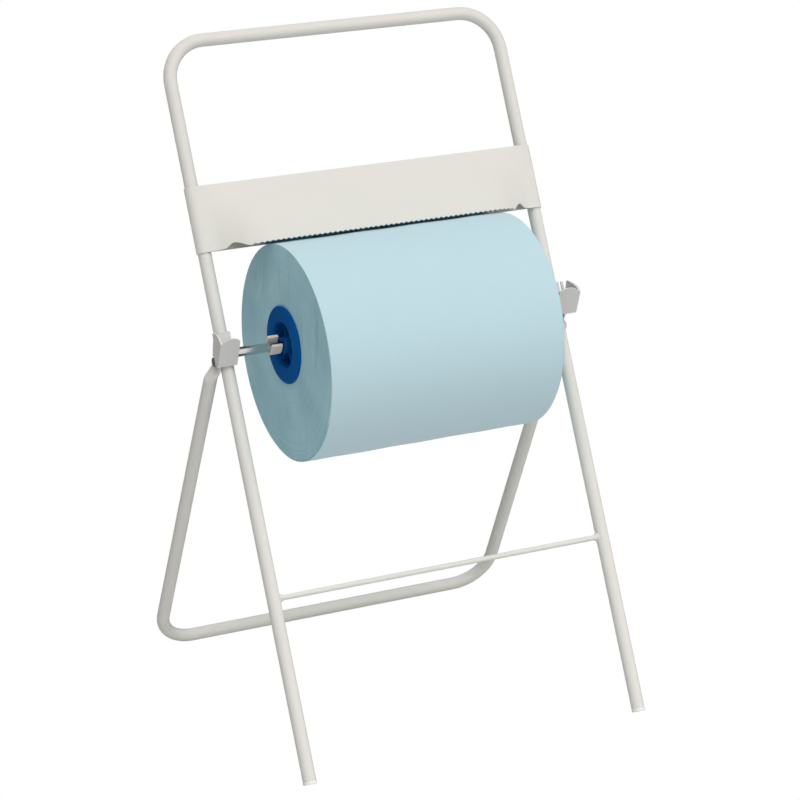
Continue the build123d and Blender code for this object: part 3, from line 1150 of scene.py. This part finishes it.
@dataclass
class AxleSet:
    """Polished axle and the two clips that hold the roll on it."""

    workshop: Workshop
    chamfer: float = 0.001
    around: int = 72
    rounding: float = 0.0007
    panel_border: float = 0.0016
    panel_depth: float = 0.0006

    def build(self) -> None:
        """Build the axle and both clips."""
        low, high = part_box("axle")
        radius = (high.z - low.z) / 2
        half = (high.x - low.x) / 2
        profile = [
            (0.0, 0.0),
            (0.0, radius - self.chamfer),
            (self.chamfer, radius),
            (2 * half - self.chamfer, radius),
            (2 * half, radius - self.chamfer),
            (2 * half, 0.0),
        ]
        start = axle_centre() - Vector((half, 0.0, 0.0))
        mesh = bmesh.new()
        lathe(mesh, profile, start, Vector((1.0, 0.0, 0.0)), self.around)
        self.workshop.piece(mesh, "polished_axle", ("polished_bar",), Body.AXLE, "axle")
        for side, body in ((Side.LEFT, Body.LEFT_CLIP), (Side.RIGHT, Body.RIGHT_CLIP)):
            self._clip(side, body)

    def _clip(self, side: Side, body: Body) -> None:
        """Build one clip, with a shallow panel sunk in the flat outside of each jaw.

        Args:
            side: The clip's side.
            body: The clip's body.
        """
        node = f"{side.word}_clip"
        mesh = node_copy(node)
        upright = [face for face in mesh.faces if abs(face.normal.x) < 0.1]
        jaws = sorted(upright, key=lambda face: -face.calc_area())[:2]
        bmesh.ops.inset_individual(
            mesh, faces=jaws, thickness=self.panel_border, depth=-self.panel_depth
        )
        round_edges(mesh, self.rounding, 3, radians(40))
        self.workshop.piece(mesh, f"{side.word}_snap_clip", ("clip_plastic",), body, node)


@dataclass
class CorePlugs:
    """The two moulded plugs in the roll's core: flange, barrel, hub and spokes."""

    workshop: Workshop
    around: int = 96
    flange_radius: float = 0.0580
    flange: float = 0.005
    barrel_radius: float = 0.038
    mouth_radius: float = 0.0335
    hub_radius: float = 0.012
    bore: float = 0.0071
    hub_set_back: float = 0.0024
    depth: float = 0.072
    floor: float = 0.003
    draft: float = 0.0006
    mouth_draft: float = 0.0008
    mouth_edge: tuple[tuple[float, float], ...] = ((0.004, 0.0), (0.0012, 0.0010), (0.0, 0.0026))
    brim_edge: tuple[tuple[float, float], ...] = ((0.0, 0.0040), (0.0006, 0.0022), (0.0022, 0.0))
    rounding: float = 0.0005
    spokes: int = 6
    spoke: float = 0.0026
    spoke_set_back: float = 0.008
    spoke_end: float = 0.001
    hub_bite: float = 0.001
    barrel_bite: float = 0.0012

    def build(self) -> None:
        """Build both plugs."""
        for side in Side:
            self._plug(side)

    def _plug(self, side: Side) -> None:
        """Build one plug, from its face inwards.

        Args:
            side: The plug's side.
        """
        inward = Vector((-side.value, 0.0, 0.0))
        face = axle_centre() + Vector((ROLL_SHIFT + side.value * FLANGE_FACE, 0.0, 0.0))
        end = self.depth + self.flange
        profile = [
            (self.hub_set_back, self.bore),
            (self.hub_set_back, self.hub_radius),
            (end - self.floor, self.hub_radius + self.draft),
            (end - self.floor, self.mouth_radius - self.mouth_draft),
            *((along, self.mouth_radius + more) for along, more in self.mouth_edge),
            *((along, self.flange_radius - less) for along, less in self.brim_edge),
            (self.flange, self.flange_radius),
            (self.flange, self.barrel_radius),
            (end, self.barrel_radius - self.draft),
            (end, self.bore),
        ]
        mesh = bmesh.new()
        lathe(mesh, profile, face, inward, self.around)
        for index in range(self.spokes):
            self._spoke(mesh, face, inward, 2 * pi * index / self.spokes)
        bmesh.ops.recalc_face_normals(mesh, faces=mesh.faces)
        round_edges(mesh, self.rounding, 2, radians(50))
        name, node = f"{side.word}_moulded_plug", f"{side.word}_core_plug"
        self.workshop.piece(mesh, name, ("plug_plastic",), Body.ROLL, node)

    def _spoke(self, mesh: Shape, face: Vector, inward: Vector, angle: float) -> None:
        """Add one spoke as a thin web between the hub and the barrel.

        Args:
            mesh: The plug.
            face: Middle of the plug's outer face.
            inward: Direction from the face into the core.
            angle: The spoke's direction round the axle.
        """
        out = Vector((0.0, cos(angle), sin(angle)))
        across = inward.cross(out)
        last = self.depth + self.flange - self.spoke_end
        for vert in bmesh.ops.create_cube(mesh, size=1.0)["verts"]:
            along = self.spoke_set_back if vert.co.x < 0 else last
            inner, outer = self.hub_radius - self.hub_bite, self.mouth_radius + self.barrel_bite
            reach = inner if vert.co.y < 0 else outer
            side = copysign(self.spoke / 2, vert.co.z)
            vert.co = face + inward * along + out * reach + across * side


@dataclass
class FootPlugs:
    """Push-in feet with a rounded rim."""

    workshop: Workshop
    rounding: float = 0.0005

    def build(self) -> None:
        """Build both feet from their nodes, rims rounded."""
        for side in Side:
            node = f"{side.word}_foot_plug"
            mesh = node_copy(node)
            round_edges(mesh, self.rounding, 2, radians(40))
            name = f"{side.word}_moulded_foot"
            self.workshop.piece(mesh, name, ("foot_plastic",), Body.STAND, node)


@dataclass(frozen=True)
class Winding:
    """A thick paper shell between a bore about the axle and an outer circle that may hang.

    The lip is the width of the bevel round each end, and the wave is the height of the slow
    unevenness of the outer face.
    """

    inner: float
    outer: float
    lip: float
    drop: float = 0.0
    wave: float = 0.0

    def reach(self, direction: Vector) -> float:
        """Distance from the axle to the outer circle along a direction."""
        along = -self.drop * direction.z
        inside = along * along - self.drop * self.drop + self.outer * self.outer
        return along + sqrt(max(inside, 0.0))


@dataclass
class PaperRoll:
    """The wound roll: a tight winding about the axle and loose wraps that sag below it."""

    workshop: Workshop
    around: int = 192
    along: int = 48
    layers: int = 14
    bore_gap: float = 0.0001
    wrap_gap: float = 0.00012
    tight_lip: float = 0.00005
    loose_lip: float = 0.0013
    wave: float = 0.0006
    wrap_depth: float = 0.16
    centre: Vector = field(
        default_factory=lambda: axle_centre() + Vector((ROLL_SHIFT, 0.0, 0.0))
    )

    def build(self) -> None:
        """Build the winding and its loose wraps."""
        tight = Winding(CORE_RADIUS + self.bore_gap, TIGHT_RADIUS, self.tight_lip)
        loose = Winding(
            TIGHT_RADIUS + self.wrap_gap, SLACK_RADIUS, self.loose_lip, SLACK_DROP, self.wave
        )
        finishes = ("paper_edge", "paper_face")
        mesh = self._shell(tight)
        self.workshop.piece(mesh, "tight_winding", finishes, Body.ROLL, "paper_roll")
        mesh = self._shell(loose)
        self.workshop.piece(mesh, "loose_wraps", finishes, Body.STAND, "slack_wraps")

    def _shell(self, winding: Winding) -> Shape:
        """Build one winding.

        Args:
            winding: Its sizes.

        Returns:
            The shell, with its layer map on the two ends.
        """
        mesh = bmesh.new()
        stations = self._stations(winding)
        rings = grow_rings(mesh, self.around, len(stations))
        for ring, (side, share) in zip(rings, stations):
            for vert in ring:
                angle = atan2(vert.co.y, vert.co.x)
                direction = Vector((0.0, cos(angle), sin(angle)))
                radius = winding.inner + (winding.reach(direction) - winding.inner) * share
                radius += self._ripple(winding, angle, side) * share ** 8
                vert.co = self.centre + direction * radius + Vector((side * ROLL_HALF, 0.0, 0.0))
        bmesh.ops.bridge_loops(mesh, edges=open_edges(mesh))
        bmesh.ops.remove_doubles(mesh, verts=mesh.verts, dist=1e-6)
        bmesh.ops.recalc_face_normals(mesh, faces=mesh.faces)
        if mesh.calc_volume(signed=True) < 0.0:
            bmesh.ops.reverse_faces(mesh, faces=mesh.faces)
        self._map_layers(mesh, winding)
        return mesh

    def _stations(self, winding: Winding) -> list[tuple[float, float]]:
        """Places round one section of a shell.

        Args:
            winding: The shell's sizes.

        Returns:
            Each place as (share of half the width, share of the thickness).
        """
        rim = 1.0 - winding.lip / (winding.outer - winding.inner)
        left = [(-1.0, step / self.layers) for step in range(self.layers)] + [(-1.0, rim)]
        inset = winding.lip / ROLL_HALF
        run = 2.0 - 2 * inset
        face = [(-1.0 + inset + run * step / self.along, 1.0) for step in range(self.along + 1)]
        right = [(-x, share) for x, share in reversed(left)]
        return left + face + right

    @staticmethod
    def _ripple(winding: Winding, angle: float, side: float) -> float:
        """Slow unevenness of the outer face, level at both ends.

        Args:
            winding: The shell's sizes.
            angle: Direction round the axle.
            side: Share of half the width.

        Returns:
            The height over the even face.
        """
        round_and_along = sin(3.0 * angle + 5.0 * side) * sin(7.0 * side + 2.0 * angle)
        return winding.wave * round_and_along * (1.0 - side ** 8)

    def _map_layers(self, mesh: Shape, winding: Winding) -> None:
        """Write the layer map and give the ends and the outer face their finishes.

        Args:
            mesh: The shell.
            winding: The shell's sizes.
        """
        layer = mesh.loops.layers.uv.new("layers")
        for face in mesh.faces:
            face.material_index = 0 if abs(face.normal.x) > 0.8 else 1
            for loop in face.loops:
                offset = loop.vert.co - self.centre
                offset.x = 0.0
                angle = atan2(offset.z, offset.y)
                depth = (offset.length - CORE_RADIUS) / (TIGHT_RADIUS - CORE_RADIUS)
                if winding.drop:
                    thickness = winding.reach(offset.normalized()) - winding.inner
                    depth = 1.0 + self.wrap_depth * (offset.length - winding.inner) / thickness
                loop[layer].uv = (sin(angle), depth)


@dataclass(frozen=True)
class Softbox:
    """A square lamp that faces the stand."""

    name: str
    place: Triple
    size: float
    power: float


@dataclass
class Studio:
    """Floor, lights and the camera of the photograph."""

    camera_place: Triple = (-1.82966, -3.68450, 1.97222)
    right: Triple = (0.89656, -0.44288, 0.00581)
    up: Triple = (0.14766, 0.31125, 0.93879)
    forward: Triple = (0.41758, 0.84082, -0.34445)
    lens: float = 130.82
    floor_size: float = 14.0
    floor_share: float = 0.78
    room_colour: Triple = (1.0, 0.98, 1.0)
    room_light: float = 0.08
    card: tuple[tuple[float, float], ...] = (
        (-0.75, 0.002), (2.4, 0.002), (2.4, 2.4), (-0.35, 2.4),
    )
    card_sides: tuple[float, float] = (-2.5, 4.5)
    card_light: float = 0.06
    overhead_towards: Triple = (-0.02, -0.47, 0.88)
    overhead_strength: float = 2.86
    overhead_angle: float = radians(75)
    softboxes: tuple[Softbox, ...] = (
        Softbox("side_softbox", (3.2, -1.2, 1.0), 2.2, 10.0),
        Softbox("low_fill", (-0.2, -3.0, 0.35), 1.6, 5.0),
        Softbox("rear_softbox", (0.0, 2.3, 2.5), 2.0, 24.0),
    )
    aim: Triple = (0.0, 0.0, 0.5)

    def build(self) -> None:
        """Build the whole studio."""
        self._camera()
        self._world()
        self._floor()
        self._dark_card()
        self._overhead()
        for box in self.softboxes:
            self._softbox(box)

    def _camera(self) -> None:
        """Camera fitted to the photograph."""
        data = bpy.data.cameras.new("photo_camera")
        data.sensor_width = 36.0
        data.lens = self.lens
        data.clip_start = 0.05
        data.clip_end = 50.0
        camera = bpy.data.objects.new("photo_camera", data)
        turn = Matrix((self.right, self.up, -Vector(self.forward))).transposed().to_4x4()
        camera.matrix_world = Matrix.Translation(self.camera_place) @ turn
        bpy.context.scene.collection.objects.link(camera)
        bpy.context.scene.camera = camera
        bpy.context.scene.view_settings.view_transform = "Standard"

    @staticmethod
    def _plain_or_white(graph: Graph, own: bpy.types.Node, kind: str) -> Socket:
        """Show plain white to the camera, gloss and glass, and a node's own light elsewhere.

        Args:
            graph: The nodes of the world or material.
            own: The shader that lights the stand.
            kind: Node type of the white shader.

        Returns:
            The mixed shader.
        """
        path = graph.add("ShaderNodeLightPath").outputs
        direct = graph.maths("MAXIMUM", path["Is Camera Ray"], path["Is Transmission Ray"])
        share = graph.maths("MAXIMUM", direct, path["Is Glossy Ray"])
        white = graph.add(kind, {"Color": (1.0, 1.0, 1.0, 1.0), "Strength": 1.0})
        values = {0: share, 1: own.outputs[0], 2: white.outputs[0]}
        return graph.add("ShaderNodeMixShader", values).outputs[0]

    def _world(self) -> None:
        """Dim surroundings that look plain white."""
        world = bpy.data.worlds.new("dim_room")
        world.use_nodes = True
        world.node_tree.nodes.clear()
        graph = Graph(world.node_tree)
        values = {"Color": (*self.room_colour, 1.0), "Strength": self.room_light}
        room = graph.add("ShaderNodeBackground", values)
        surface = self._plain_or_white(graph, room, "ShaderNodeBackground")
        graph.add("ShaderNodeOutputWorld", {"Surface": surface})
        bpy.context.scene.world = world

    def _floor(self) -> None:
        """Pale floor that throws light up at the stand and looks plain white."""
        mesh = bmesh.new()
        bmesh.ops.create_grid(mesh, x_segments=1, y_segments=1, size=self.floor_size)
        floor, graph = self._stage_piece(mesh, "studio_floor")
        share = self.floor_share
        matt = graph.add("ShaderNodeBsdfDiffuse", {"Color": (share, share, share, 1.0)})
        surface = self._plain_or_white(graph, matt, "ShaderNodeEmission")
        graph.add("ShaderNodeOutputMaterial", {"Surface": surface})
        log.info("%s: %.0f m wide", floor.name, 2 * self.floor_size)

    def _dark_card(self) -> None:
        """Dark card under, behind and over the stand that only shows in its gloss."""
        steps = len(self.card) - 1
        mesh = bmesh.new()
        bmesh.ops.create_grid(mesh, x_segments=1, y_segments=steps, size=1.0)
        for vert in mesh.verts:
            y, z = self.card[grid_step(vert.co.y, steps)]
            vert.co = Vector((self.card_sides[vert.co.x > 0], y, z))
        card, graph = self._stage_piece(mesh, "dark_card")
        for kind in ("camera", "diffuse", "transmission", "shadow"):
            setattr(card, f"visible_{kind}", False)
        values = {"Color": (1.0, 1.0, 1.0, 1.0), "Strength": self.card_light}
        grey = graph.add("ShaderNodeEmission", values)
        graph.add("ShaderNodeOutputMaterial", {"Surface": grey.outputs[0]})

    @staticmethod
    def _stage_piece(mesh: Shape, name: str) -> tuple[bpy.types.Object, Graph]:
        """Make a piece of the studio with an empty material.

        Args:
            mesh: Its shape. It is freed.
            name: Its name.

        Returns:
            The piece and the graph of its material.
        """
        piece = mesh_object(mesh, name)
        material = bpy.data.materials.new(f"{name}_finish")
        material.use_nodes = True
        material.node_tree.nodes.clear()
        piece.data.materials.append(material)
        return piece, Graph(material.node_tree)

    @staticmethod
    def _lamp(name: str, kind: str, energy: float) -> bpy.types.Object:
        """Add a lamp to the scene.

        Args:
            name: Its name.
            kind: Blender's type of light.
            energy: Its power or strength.

        Returns:
            The lamp.
        """
        data = bpy.data.lights.new(name, kind)
        data.energy = energy
        lamp = bpy.data.objects.new(name, data)
        bpy.context.scene.collection.objects.link(lamp)
        return lamp

    def _overhead(self) -> None:
        """Add the wide soft light above and in front of the stand."""
        lamp = self._lamp("overhead_scrim", "SUN", self.overhead_strength)
        lamp.data.angle = self.overhead_angle
        lamp.visible_glossy = False
        towards = Vector(self.overhead_towards)
        lamp.rotation_euler = towards.to_track_quat("Z", "Y").to_euler()

    def _softbox(self, box: Softbox) -> None:
        """Add a soft square lamp that faces the stand.

        Args:
            box: Its name, place, size and power.
        """
        lamp = self._lamp(box.name, "AREA", box.power)
        lamp.data.shape = "SQUARE"
        lamp.data.size = box.size
        lamp.location = box.place
        towards = Vector(self.aim) - Vector(box.place)
        lamp.rotation_euler = towards.to_track_quat("-Z", "Y").to_euler()


@dataclass
class Stand:
    """The stand's CAD nodes, by finish."""

    palette: Palette
    finishes: dict[str, tuple[str, ...]] = field(default_factory=lambda: {
        "powder_coat": ("front_frame", "crossbar", "rear_frame", "tear_plate", "tie_plate"),
        "cradle_plastic": ("left_cradle", "right_cradle"),
        "foot_plastic": ("left_foot_plug", "right_foot_plug"),
        "blackened_steel": ("pivot_bolts", "pivot_nuts"),
        "washer_plastic": ("saddle_washers",),
        "polished_bar": ("axle",),
        "clip_plastic": ("left_clip", "right_clip"),
        "plug_plastic": ("left_core_plug", "right_core_plug"),
        "core_board": ("core_tube",),
        "paper_face": ("paper_roll", "slack_wraps"),
    })

    def dress(self) -> None:
        """Give every node its finish."""
        for finish, nodes in self.finishes.items():
            for node in nodes:
                self.palette.dress(node, finish)
                log.info("%s dressed with %s", node, finish)


def main() -> None:
    """Build the studio, dress the stand and build its detailed pieces."""
    logging.basicConfig(level=logging.INFO, format="%(message)s")
    palette = Palette()
    workshop = Workshop(palette)
    Studio().build()
    Stand(palette).dress()
    makers = (
        FrontFrame, RearFrame, TearPlate, Cradles, AxleSet, CorePlugs, FootPlugs, PaperRoll,
    )
    for maker in makers:
        maker(workshop).build()


if __name__ == "__main__":
    main()
